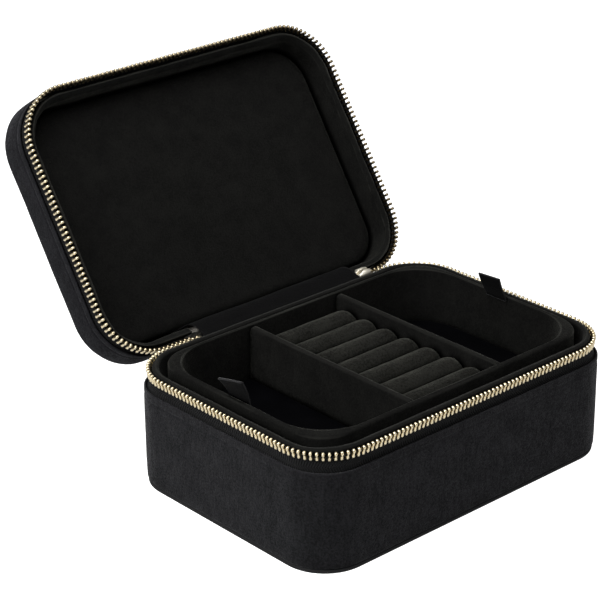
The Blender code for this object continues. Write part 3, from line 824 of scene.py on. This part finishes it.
# ---------------------------------------------------------------- lid
def make_lid_cover():
    """Velvet over the lid's sides and top, with the board's crease above its edge."""
    low, top = LID_COVER_LOW, LID_TOP
    crease = low + 3.4 * MM
    section = soften([
        (6.0 * MM, top - 1.2 * MM, 0), (2.0 * MM, top - 1.3 * MM, 1 * MM), (1.0 * MM, top - 3.5 * MM, 1 * MM),
        (1.0 * MM, low + 4 * MM, 0.3 * MM), (1.2 * MM, low + 0.2 * MM, 0.3 * MM), (0.05 * MM, low, 0.8 * MM),
        (0.0, crease - 0.9 * MM, 0.5 * MM), (0.25 * MM, crease, 0.5 * MM),
        (-0.05 * MM, crease + 0.9 * MM, 0.5 * MM), (-0.35 * MM, 0.5 * (crease + top), 6 * MM),
        (-0.1 * MM, top, 2.4 * MM), (12 * MM, top, 0)], closed=False, steps=8, spacing=1.5 * MM)
    rows = case_rows(section, LID_CORNER)
    rows += shrinking_rows(rows[-1], (0.96, 0.86, 0.7, 0.5, 0.3, 0.1))
    cover = skin("lid_cover_velvet", rows)
    ruffle(cover, 0.25 * MM, 26 * MM, 8)
    ruffle(cover, 0.35 * MM, 10 * MM, 9, cornerness)
    ruffle(cover, 0.06 * MM, 3.2 * MM, 10)
    dress(cover, LID_VELVET, "outer_velvet", "lid", "lid_cover")


def make_lid_lining():
    """Lining wall with a soft lip. Its inner side is pulled a little to the right, more so deep inside."""
    lip, top = LID_LIP, LID_LINING_TOP
    section = soften([
        (4.1 * MM, top, 0.2 * MM), (4.1 * MM, LID_TAPE_TOP + 0.3 * MM, 0.4 * MM),
        (3.0 * MM, LID_TAPE_TOP - 1 * MM, 0.4 * MM), (3.1 * MM, lip + 1.0 * MM, 0.7 * MM),
        (4.1 * MM, lip - 0.1 * MM, 0.4 * MM), (6.8 * MM, lip + 2.4 * MM, 1.6 * MM),
        (6.6 * MM, CEILING - 3 * MM, 2 * MM), (6.7 * MM, top - 0.9 * MM, 0.4 * MM),
        (10.5 * MM, top - 0.8 * MM, 0.2 * MM), (10.5 * MM, top, 0.1 * MM)], spacing=1.4 * MM)
    start, end = SPINE_LEFT - 0.5 * MM, SPINE_RIGHT + 0.5 * MM
    pull = 0.6 * MM
    rows = []
    for inset, z in section:
        inner = ramp(inset, 3.2 * MM, 6.2 * MM)
        row = lining_row(inset, z, LID_LINING_CORNER - LID_LINING_TIGHTER * inner, start, end)
        row[:, 0] += pull * (1 + ramp(z, lip, lip + 10 * MM)) * inner * (0.5 + 0.5 * row[:, 0] / HALF_X)
        rows.append(row)
    wall = skin("lid_lining_wall_velvet", rows, "strip")
    ruffle(wall, 0.40 * MM, 17 * MM, 11)
    ruffle(wall, 0.75 * MM, 8 * MM, 12, lambda p: cornerness(p, 50 * MM))
    ruffle(wall, 0.50 * MM, 6 * MM, 14, lambda p: float(p.x > 0.6 * HALF_X and p.z < lip + 2.5 * MM))
    dress(wall, LINING, "lining_velvet", "lid", "lid_lining_wall")


def make_lid_panel():
    """Padded panel that fills the lid inside the lining wall: rounded at its edge and crowned."""
    edge, rounding, edge_width = 8.1 * MM, 3.0 * MM, 5.1 * MM
    shift, face_depth = 1.3 * MM, 0.6 * MM
    section = [(edge + 0.3 * MM, LID_LINING_TOP - 0.05 * MM), (edge, LID_LINING_TOP - 0.6 * MM)]
    for turn in np.radians((0, 20, 40, 60, 80, 90)):
        section.append((edge + edge_width * (1 - math.cos(turn)), CEILING + rounding * (1 - math.sin(turn))))
    rows = [lining_row(inset, z, LID_LINING_CORNER - LID_LINING_TIGHTER) for inset, z in section]
    rows += shrinking_rows(rows[-1], np.linspace(0.985, 0.02, 26))
    panel = skin("lid_lining_padding", rows)
    crown = simulate_crown(HALF_X - edge, HALF_Y - edge, 0.9 * MM)
    for vertex in panel.data.vertices:
        if vertex.co.z < CEILING + face_depth:
            vertex.co.z -= crown(vertex.co.x, vertex.co.y)
        vertex.co.x += shift
    panel.data.update()
    ruffle(panel, 0.15 * MM, 30 * MM, 13, lambda p: float(p.z < CEILING + face_depth))
    dress(panel, LINING, "lining_velvet", "lid", "lid_lining_panel")


def simulate_crown(half_x, half_y, height):
    """Cloth stretched over padding: a pinned sheet sags under its weight, and the sag is scaled to a height.

    Returns a function of x and y that gives how far the padding stands out.
    """
    columns, rows, last_frame = 40, 28, 24
    xs = np.linspace(-half_x, half_x, columns)
    ys = np.linspace(-half_y, half_y, rows)
    points = [(x, y, 0.0) for y in ys for x in xs]
    faces = [(j * columns + i, j * columns + i + 1, (j + 1) * columns + i + 1, (j + 1) * columns + i)
             for j in range(rows - 1) for i in range(columns - 1)]
    sheet = new_piece("cloth_sheet", points, faces)
    pins = sheet.vertex_groups.new(name="pins")
    rim = [j * columns + i for j in range(rows) for i in range(columns)
           if i in (0, columns - 1) or j in (0, rows - 1)]
    pins.add(rim, 1.0, "ADD")
    cloth = sheet.modifiers.new("cloth", "CLOTH")
    cloth.settings.vertex_group_mass = "pins"
    cloth.settings.quality = 6
    cloth.settings.tension_stiffness = 20
    cloth.settings.bending_stiffness = 2
    cloth.collision_settings.use_collision = False
    cloth.point_cache.frame_start, cloth.point_cache.frame_end = 1, last_frame
    scene = bpy.context.scene
    for number in range(1, last_frame + 1):
        scene.frame_set(number)
    settled = sheet.evaluated_get(bpy.context.evaluated_depsgraph_get())
    field = -np.array([vertex.co.z for vertex in settled.data.vertices]).reshape(rows, columns)
    scene.frame_set(1)
    bpy.data.objects.remove(sheet)
    field = np.clip(field, 0.0, None)
    field = field / max(field.max(), 1e-9) * height

    def crown(x, y):
        fx = min(max((x + half_x) / (2 * half_x) * (columns - 1), 0.0), columns - 1.001)
        fy = min(max((y + half_y) / (2 * half_y) * (rows - 1), 0.0), rows - 1.001)
        i, j = int(fx), int(fy)
        u, v = fx - i, fy - j
        return ((field[j, i] * (1 - u) + field[j, i + 1] * u) * (1 - v)
                + (field[j + 1, i] * (1 - u) + field[j + 1, i + 1] * u) * v)

    return crown


# ---------------------------------------------------------------- hinge fabric
def fabric_strip(name, path, thickness, left, right, columns):
    """A strip of fabric along X: path is its (y, z) middle line, and it has a real thickness."""
    path = np.array(path)
    side = directions(path)[:, ::-1] * (-1, 1) * thickness / 2
    loop = np.vstack([path + side, (path - side)[::-1]])
    rows = [[(x, y, z) for x in np.linspace(left, right, columns)] for y, z in loop]
    return skin(name, rows, "strip")


def make_hinge_fabric():
    """Inner gusset and outer spine: each bends between the base and the lid about the hinge line."""
    start = Vector((0.0, HALF_Y - COLLAR_INSET - 1.2 * MM, COLLAR_TOP - 0.4 * MM))
    ridge = Vector((0.0, 78.6 * MM, 64.4 * MM))  # where the open gusset bends
    crease = LID_OPENING @ Vector((0.0, HALF_Y - 7.3 * MM, CEILING + 0.6 * MM))
    gusset_path = soften([
        (start.y, start.z - 3 * MM, 0), (start.y, start.z, 0.8 * MM), (ridge.y, ridge.z + 1.2 * MM, 9 * MM),
        (crease.y, crease.z, 0)], closed=False, steps=12, spacing=1.0 * MM)
    gusset = fabric_strip("hinge_gusset_lining", gusset_path, 0.8 * MM,
                          SPINE_LEFT - 0.3 * MM, SPINE_RIGHT + 0.3 * MM, 70)
    ruffle(gusset, 0.45 * MM, 16 * MM, 14, lambda p: 1.0 if p.y > HINGE.y else 0.2)
    dress(gusset, HINGE_LINING, "lining_velvet", None, "hinge_lining_lower", "hinge_lining_upper")
    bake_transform(gusset)

    outer = HALF_Y - 0.35 * MM
    lid_side = [LID_OPENING @ Vector((0.0, outer, z)) for z in (HINGE.z + 1.2 * MM, LID_COVER_LOW + 1.4 * MM)]
    spine_path = soften([
        (outer - 0.3 * MM, COVER_TOP - 2.5 * MM, 0), (outer, COVER_TOP + 1 * MM, 1 * MM),
        (outer, HINGE.z - 0.2 * MM, 0.5 * MM), (lid_side[0].y, lid_side[0].z, 0.5 * MM),
        (lid_side[1].y, lid_side[1].z, 0)], closed=False, spacing=0.8 * MM)
    spine = fabric_strip("hinge_spine_velvet", spine_path, 0.7 * MM,
                         SPINE_LEFT - 1.5 * MM, SPINE_RIGHT + 0.5 * MM, 70)
    ruffle(spine, 0.20 * MM, 12 * MM, 15)
    dress(spine, OUTER_VELVET, "outer_velvet", None, "spine_lower", "spine_upper")
    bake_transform(spine)


# ---------------------------------------------------------------- tray
def tray_rows(section):
    """Level loops of the tray at each (inset, z) of a section."""
    rows = []
    for inset, z in section:
        corner = TRAY_CORNER + (TRAY_INNER_CORNER + TRAY_WALL - TRAY_CORNER) * ramp(inset, 0.0, TRAY_WALL)
        rows.append(level_row(TRAY_HIGH.x, TRAY_HIGH.y, corner, inset, z))
    return rows


def make_tray():
    """Velvet tray: thin walls with a rounded rim, the bottom, the bay floors and the dividers."""
    low, top, wall = TRAY_LOW.z, TRAY_HIGH.z, TRAY_WALL
    section = soften([
        (16 * MM, low, 0), (0.3 * MM, low, 1.2 * MM), (0.0, 0.5 * (low + top), 8 * MM),
        (0.05 * MM, top - 0.5 * MM, 1.3 * MM), (0.80 * wall, top + 0.1 * MM, 0.45 * MM),
        (wall + 0.05 * MM, top - 0.2 * MM, 0.35 * MM), (wall + 0.05 * MM, top - 10 * MM, 6 * MM),
        (wall, TRAY_FLOOR - 0.4 * MM, 0.4 * MM), (wall + 4 * MM, TRAY_FLOOR - 0.6 * MM, 0)],
        closed=False, spacing=1.6 * MM)
    shell = skin("tray_shell_velvet", tray_rows(section))
    ruffle(shell, 0.18 * MM, 20 * MM, 16, lambda p: float(p.z > low + 2 * MM))
    dress(shell, LINING, "lining_velvet", "tray", "tray_shell")
    for bay in ("left", "centre", "right"):
        make_bay_floor("tray_floor_" + bay)
    make_divider("divider_left", -1)
    make_divider("divider_right", 1)


def make_bay_floor(node):
    """A bay's floor lining: the CAD's thin board with its upper edges rounded."""
    mesh = bmesh.new()
    mesh.from_mesh(frame["nodes"][node].data)
    bmesh.ops.remove_doubles(mesh, verts=mesh.verts, dist=0.01 * MM)
    bmesh.ops.dissolve_limit(mesh, angle_limit=math.radians(1), verts=mesh.verts, edges=mesh.edges)
    upper = [edge for edge in mesh.edges if all(vertex.co.z > TRAY_FLOOR - 0.1 * MM for vertex in edge.verts)]
    bmesh.ops.bevel(mesh, geom=upper, offset=0.30 * MM, segments=3, affect="EDGES", profile=0.5)
    data = bpy.data.meshes.new(node + "_lining")
    mesh.to_mesh(data)
    mesh.free()
    dress(add_object(node + "_lining", data), FLOOR_LINING, "lining_velvet", "tray", node)


def make_divider(node, sign):
    """A velvet divider with a rounded top that dips and rounds off where it meets the tray's walls."""
    low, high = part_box(node)
    half, centre = 0.5 * (high.x - low.x), 0.5 * (high.x + low.x)
    deepest_dip, dip_reach = 1.3 * MM, 2.2 * MM
    rows = []
    for y in low.y + (high.y - low.y) * np.arange(61) / 60:
        dip = deepest_dip * (1.0 - ramp(min(y - low.y, high.y - y), 0.0, dip_reach)) ** 2
        width = half * (1.0 + 0.05 * noise.noise(Vector((sign * 3.0, y * 60.0, 0.0))))
        lean = 0.15 * MM * noise.noise(Vector((sign * 5.0, y * 25.0, 1.0)))
        side_heights = np.linspace(low.z, high.z - dip - half, 8)
        row = [(centre + width, y, z) for z in side_heights]
        for angle in math.pi * np.arange(1, 10) / 10:
            row.append((centre + lean + width * math.cos(angle), y,
                        side_heights[-1] + half * math.sin(angle)))
        row += [(centre - width, y, z) for z in side_heights[::-1]]
        rows.append(row)
    divider = skin(node + "_velvet", rows)
    ruffle(divider, 0.10 * MM, 12 * MM, 17 + sign)
    dress(divider, LINING, "lining_velvet", "tray", node)


def make_ring_roll(number):
    """A foam roll in velvet: full in the middle, and smaller and lower towards both ends."""
    node = "ring_roll_%d" % number
    low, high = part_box(node)
    radius, centre_y = 0.5 * (high.y - low.y), 0.5 * (high.y + low.y)
    axis_z, half_length = high.z - radius, high.x
    end_length, end_shrink, end_drop = 8.0 * MM, 0.42, 2.2 * MM
    rows = []
    for turn in math.pi * np.arange(57) / 56:
        x = -half_length * math.cos(turn)
        into_end = max(0.0, abs(x) - (half_length - end_length)) / end_length
        fall = 1.0 - math.sqrt(max(0.0, 1.0 - into_end ** 2.4))
        size = radius * (1.0 - end_shrink * fall)
        full_size = size * (1.0 + 0.012 * noise.noise(Vector((x * 70.0, number * 4.7, 0.0))))
        side_heights = (low.z, 0.5 * (low.z + axis_z))
        row = [(x, centre_y + size, z) for z in side_heights]
        for angle in math.pi * np.arange(19) / 18:
            row.append((x, centre_y + full_size * math.cos(angle),
                        axis_z - end_drop * fall + full_size * math.sin(angle)))
        row += [(x, centre_y - size, z) for z in side_heights[::-1]]
        rows.append(row)
    roll = skin(node + "_velvet", rows)
    ruffle(roll, 0.14 * MM, 7 * MM, 20 + number)
    dress(roll, ROLL_VELVET, "roll_velvet", "tray", node)


def make_tab(node, joint_name, far_lean, near_lean, curl):
    """A folded ribbon loop. It leans left by far_lean at its back edge and near_lean at its front edge.

    curl is how much more upright it starts, and how much further over it ends.
    """
    root = Vector(find_joint(joint_name)["pos_m"])
    half_width = 0.5 * (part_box(node)[1].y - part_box(node)[0].y)
    length, buried, thickness = 12.2 * MM, 2.5 * MM, 0.55 * MM
    steps = 24
    columns = []
    for y in np.linspace(-half_width, half_width, 13):
        lean = near_lean + (far_lean - near_lean) * (y + half_width) / (2 * half_width)
        path = [np.array((root.x, root.z - buried))]
        for step in range(steps):
            travelled = (step + 0.5) / steps * (length + buried)
            up_share = max(0.0, (travelled - buried) / length)
            angle = math.radians(lean + curl * (2 * up_share - 1)) * min(1.0, travelled / buried)
            path.append(path[-1] + (length + buried) / steps * np.array((-math.sin(angle), math.cos(angle))))
        path = np.array(path)
        along = directions(path)
        side = along[:, ::-1] * (1, -1)
        fold = [path[-1] + thickness * (math.cos(a) * side[-1] + math.sin(a) * along[-1])
                for a in np.linspace(0, math.pi, 7)]
        loop = np.vstack([path[:-1] + side[:-1] * thickness, fold, (path[:-1] - side[:-1] * thickness)[::-1]])
        columns.append([(x, root.y + y, z) for x, z in loop])
    rows = [list(row) for row in zip(*columns)]
    tab = skin(node + "_ribbon", rows, "strip")
    round_edges(tab, 0.12 * MM, 2)
    dress(tab, RIBBON, "tab_ribbon", joint_name.replace("_fold", ""), node)


# ---------------------------------------------------------------- zip hardware
def plate(name, shape, low_y, high_y, bevel_width):
    """A flat plate in the XZ plane, from an outline of (x, z) points, with rounded edges."""
    rows = [[(x, y, z) for x, z in shape] for y in (low_y, high_y)]
    piece = skin(name, rows)
    mesh = bmesh.new()
    mesh.from_mesh(piece.data)
    rim = [edge for edge in mesh.edges if abs(edge.verts[0].co.y - edge.verts[1].co.y) < 1e-7]
    bmesh.ops.bevel(mesh, geom=rim, offset=bevel_width, segments=3, affect="EDGES", profile=0.6)
    mesh.to_mesh(piece.data)
    mesh.free()
    piece.data.shade_smooth()
    return piece


def domed_plate(name, shape, back_y, height):
    """A plate in the XZ plane whose face swells towards -Y."""
    middle = np.mean(shape, axis=0)
    rows = [[(x, back_y, z) for x, z in shape]]
    rim = 0.5 * MM
    for turn in np.radians(np.linspace(0, 84, 9)):
        y = back_y - rim - (height - rim) * math.sin(turn)
        around_middle = middle + (np.array(shape) - middle) * (0.25 + 0.75 * math.cos(turn))
        rows.append([(x, y, z) for x, z in around_middle])
    return skin(name, rows)


def make_slider():
    """Zip slider: two shield plates with side flanges, a post between them and an arch outside."""
    low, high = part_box("zip_slider")
    face_y = low.y + 4.5 * MM
    centre_z = 0.5 * (low.z + high.z)
    half = 0.5 * (high.z - low.z) - 0.2 * MM
    nose, tail = low.x + 0.2 * MM, high.x - 0.2 * MM
    tail_half = 0.80 * half
    shield = soften([
        (nose, -0.50 * half, 1 * MM), (nose + 3.6 * MM, -half, 2 * MM), (tail, -tail_half, 1.2 * MM),
        (tail - 0.6 * MM, 0.0, 2 * MM), (tail, tail_half, 1.2 * MM), (nose + 3.6 * MM, half, 2 * MM),
        (nose, 0.50 * half, 1 * MM)], spacing=1.2 * MM)
    shield = [(x, centre_z + z) for x, z in shield]
    parts = [domed_plate("slider_inner", shield, low.y + 1.2 * MM, 1.9 * MM),
             plate("slider_outer", shield, face_y - 1.1 * MM, face_y - 0.05 * MM, 0.28 * MM)]
    post = [(nose + 1.7 * MM - 1.2 * MM * math.cos(a), centre_z + 1.5 * MM * math.sin(a)) for a in around(20)]
    parts.append(plate("slider_post", post, low.y + 0.8 * MM, face_y - 0.8 * MM, 0.05 * MM))
    flange = [(nose + 2.6 * MM, half - 1.1 * MM), (nose + 3.8 * MM, half - 0.3 * MM),
              (tail - 0.8 * MM, tail_half - 0.1 * MM), (tail - 0.8 * MM, tail_half - 0.9 * MM),
              (nose + 3.8 * MM, half - 1.1 * MM)]
    flanges = ([(x, centre_z - z) for x, z in reversed(flange)], [(x, centre_z + z) for x, z in flange])
    for outline in flanges:
        for flange_y in (low.y + 0.7 * MM, face_y - 1.7 * MM):
            parts.append(plate("slider_flange", outline, flange_y, flange_y + 1 * MM, 0.1 * MM))
    middle_x = 0.5 * (low.x + high.x)
    arch_path = soften([
        (face_y - 0.4 * MM, -2.7 * MM, 0), (face_y + 2.0 * MM, -2.5 * MM, 1.4 * MM),
        (face_y + 2.2 * MM, 0.0, 1 * MM), (face_y + 2.0 * MM, 2.5 * MM, 1.4 * MM),
        (face_y - 0.4 * MM, 2.7 * MM, 0)], closed=False, spacing=0.6 * MM)
    arch_path = [(y, centre_z + z) for y, z in arch_path]
    arch_half = 1.6 * MM
    parts.append(fabric_strip("slider_arch", arch_path, 0.75 * MM,
                              middle_x - arch_half, middle_x + arch_half, 5))
    dress(join_pieces("zip_slider_body", parts), SLIDER_GOLD, "zip_metal", "slider", "zip_slider")


def make_pull():
    """Wire link and pull. The pull is a slim bar folded round the link, with rounded edges."""
    low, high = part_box("zip_pull_link")
    wire = 0.5 * MM
    axis = Vector(find_joint("zip_pull_swing")["pos_m"])
    half_x = 0.5 * (high.x - low.x) - wire
    half_z = 0.5 * (high.z - low.z) - wire
    centre = Vector((0.5 * (low.x + high.x), axis.y, 0.5 * (low.z + high.z)))
    path = soften([(-half_x, half_z, 1.6 * MM), (-half_x, -half_z, 1.6 * MM), (half_x, -half_z, 1.6 * MM),
                   (half_x, half_z, 1.6 * MM)], steps=8, spacing=1.0 * MM)
    rows = []
    for index, point in enumerate(path):
        ahead = path[(index + 1) % len(path)] - path[index - 1]
        out = np.array((ahead[1], -ahead[0])) / np.linalg.norm(ahead)
        row = []
        for angle in around(12):
            flat = point + out * wire * math.cos(angle)
            row.append((centre.x + flat[0], centre.y + wire * math.sin(angle), centre.z + flat[1]))
        rows.append(row)
    link = skin("zip_pull_wire_link", rows, "ring")
    dress(link, SLIDER_GOLD, "zip_metal", "pull", "zip_pull_link")

    low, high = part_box("zip_pull_tab")
    bar_z = axis.z - 11.0 * MM
    wrap = 1.30 * MM
    turns = [(axis.y + wrap * math.cos(a), bar_z + wrap * math.sin(a))
             for a in np.radians(np.linspace(235, 0, 20))]
    drops = [(axis.y + wrap, z) for z in np.linspace(bar_z - 0.8 * MM, low.z + 0.2 * MM, 24)]
    strip = fabric_strip("zip_pull_bar", turns + drops, 0.85 * MM, -1.0, 1.0, 9)
    centre_x = 0.5 * (low.x + high.x)
    for vertex in strip.data.vertices:
        down = ramp(-vertex.co.z, -bar_z, -low.z)
        half_width = 1.9 * MM + 0.9 * MM * math.sin(math.pi * 0.5 * min(1.0, down * 2.2))
        half_width *= math.sqrt(max(0.05, 1.0 - ramp(down, 0.86, 1.0) ** 2))
        vertex.co.x = centre_x + vertex.co.x * half_width
    strip.data.update()
    round_edges(strip, 0.15 * MM, 3)
    dress(strip, SLIDER_GOLD, "zip_metal", "pull", "zip_pull_tab")


def make_stop():
    """Crimped metal stop where the two rows meet."""
    low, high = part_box("zip_bottom_stop")
    rounding = 0.5 * MM
    shape = soften([(low.x, low.z, rounding), (high.x, low.z, rounding), (high.x, high.z, rounding),
                    (low.x, high.z, rounding)], spacing=1 * MM)
    stop = plate("zip_end_stop", shape, low.y, high.y, 0.3 * MM)
    dress(stop, TEETH_GOLD, "zip_metal", "base", "zip_bottom_stop")


# ---------------------------------------------------------------- stage
def backward(azimuth, elevation):
    """The way back to a viewer at an azimuth and elevation in degrees; 0, 0 is in front of the case."""
    a, e = math.radians(azimuth), math.radians(elevation)
    return Vector((math.sin(a) * math.cos(e), -math.cos(a) * math.cos(e), math.sin(e)))


def facing(back):
    """The turn of a lamp or camera that looks against a direction."""
    return (-back).to_track_quat("-Z", "Y")


def make_stage():
    """Pale floor, a white world that lights weakly, soft lamps and the camera."""
    bpy.ops.mesh.primitive_plane_add(size=6.0, location=(0.0, 0.0, -0.15 * MM))
    floor = bpy.context.object
    floor.name = "studio_floor"
    floor.data.materials.append(FLOOR)

    scene = bpy.context.scene
    world = bpy.data.worlds.new("studio")
    world.use_nodes = True
    nodes, links = world.node_tree.nodes, world.node_tree.links
    seen = nodes.new("ShaderNodeLightPath").outputs["Is Camera Ray"]
    strength = nodes.new("ShaderNodeMapRange")
    strength.inputs["To Min"].default_value = WORLD_LIGHT
    strength.inputs["To Max"].default_value = WORLD_SEEN
    links.new(seen, strength.inputs["Value"])
    links.new(strength.outputs[0], nodes["Background"].inputs["Strength"])
    nodes["Background"].inputs["Color"].default_value = (1.0, 1.0, 1.0, 1.0)
    scene.world = world
    scene.view_settings.view_transform = "Standard"

    for name, azimuth, elevation, distance, size, power in LAMPS:
        back = backward(azimuth, elevation)
        data = bpy.data.lights.new(name + "_light", "AREA")
        data.size = size
        data.energy = power
        lamp = bpy.data.objects.new(name + "_light", data)
        scene.collection.objects.link(lamp)
        lamp.location = LAMP_TARGET + back * distance
        lamp.rotation_euler = facing(back).to_euler()

    back = backward(CAMERA_AZIMUTH, CAMERA_ELEVATION)
    camera_data = bpy.data.cameras.new("camera")
    camera_data.lens = CAMERA_LENS
    camera_data.sensor_width = 36.0
    camera = bpy.data.objects.new("camera", camera_data)
    scene.collection.objects.link(camera)
    camera.location = CAMERA_TARGET + back * CAMERA_DISTANCE
    camera.rotation_mode = "QUATERNION"
    camera.rotation_quaternion = Matrix.Rotation(CAMERA_ROLL, 3, back).to_quaternion() @ facing(back)
    scene.camera = camera


def dress_hidden_boards():
    """The board shells keep their CAD shape inside the velvet, as raw greyboard."""
    for node in ("base_shell", "lid_shell"):
        board = frame["nodes"][node]
        board.data.materials.clear()
        board.data.materials.append(BOARD)


make_bottom_panel()
make_base_cover()
make_collar()
make_lower_compartment()
make_zip()
make_lid_cover()
make_lid_lining()
make_lid_panel()
make_hinge_fabric()
make_tray()
for roll_number in range(1, 8):
    make_ring_roll(roll_number)
make_tab("tray_tab_left", "left_tab_fold", 34, 20, 8)
make_tab("tray_tab_right", "right_tab_fold", 27, 23, -6)
make_slider()
make_pull()
make_stop()
dress_hidden_boards()
make_stage()
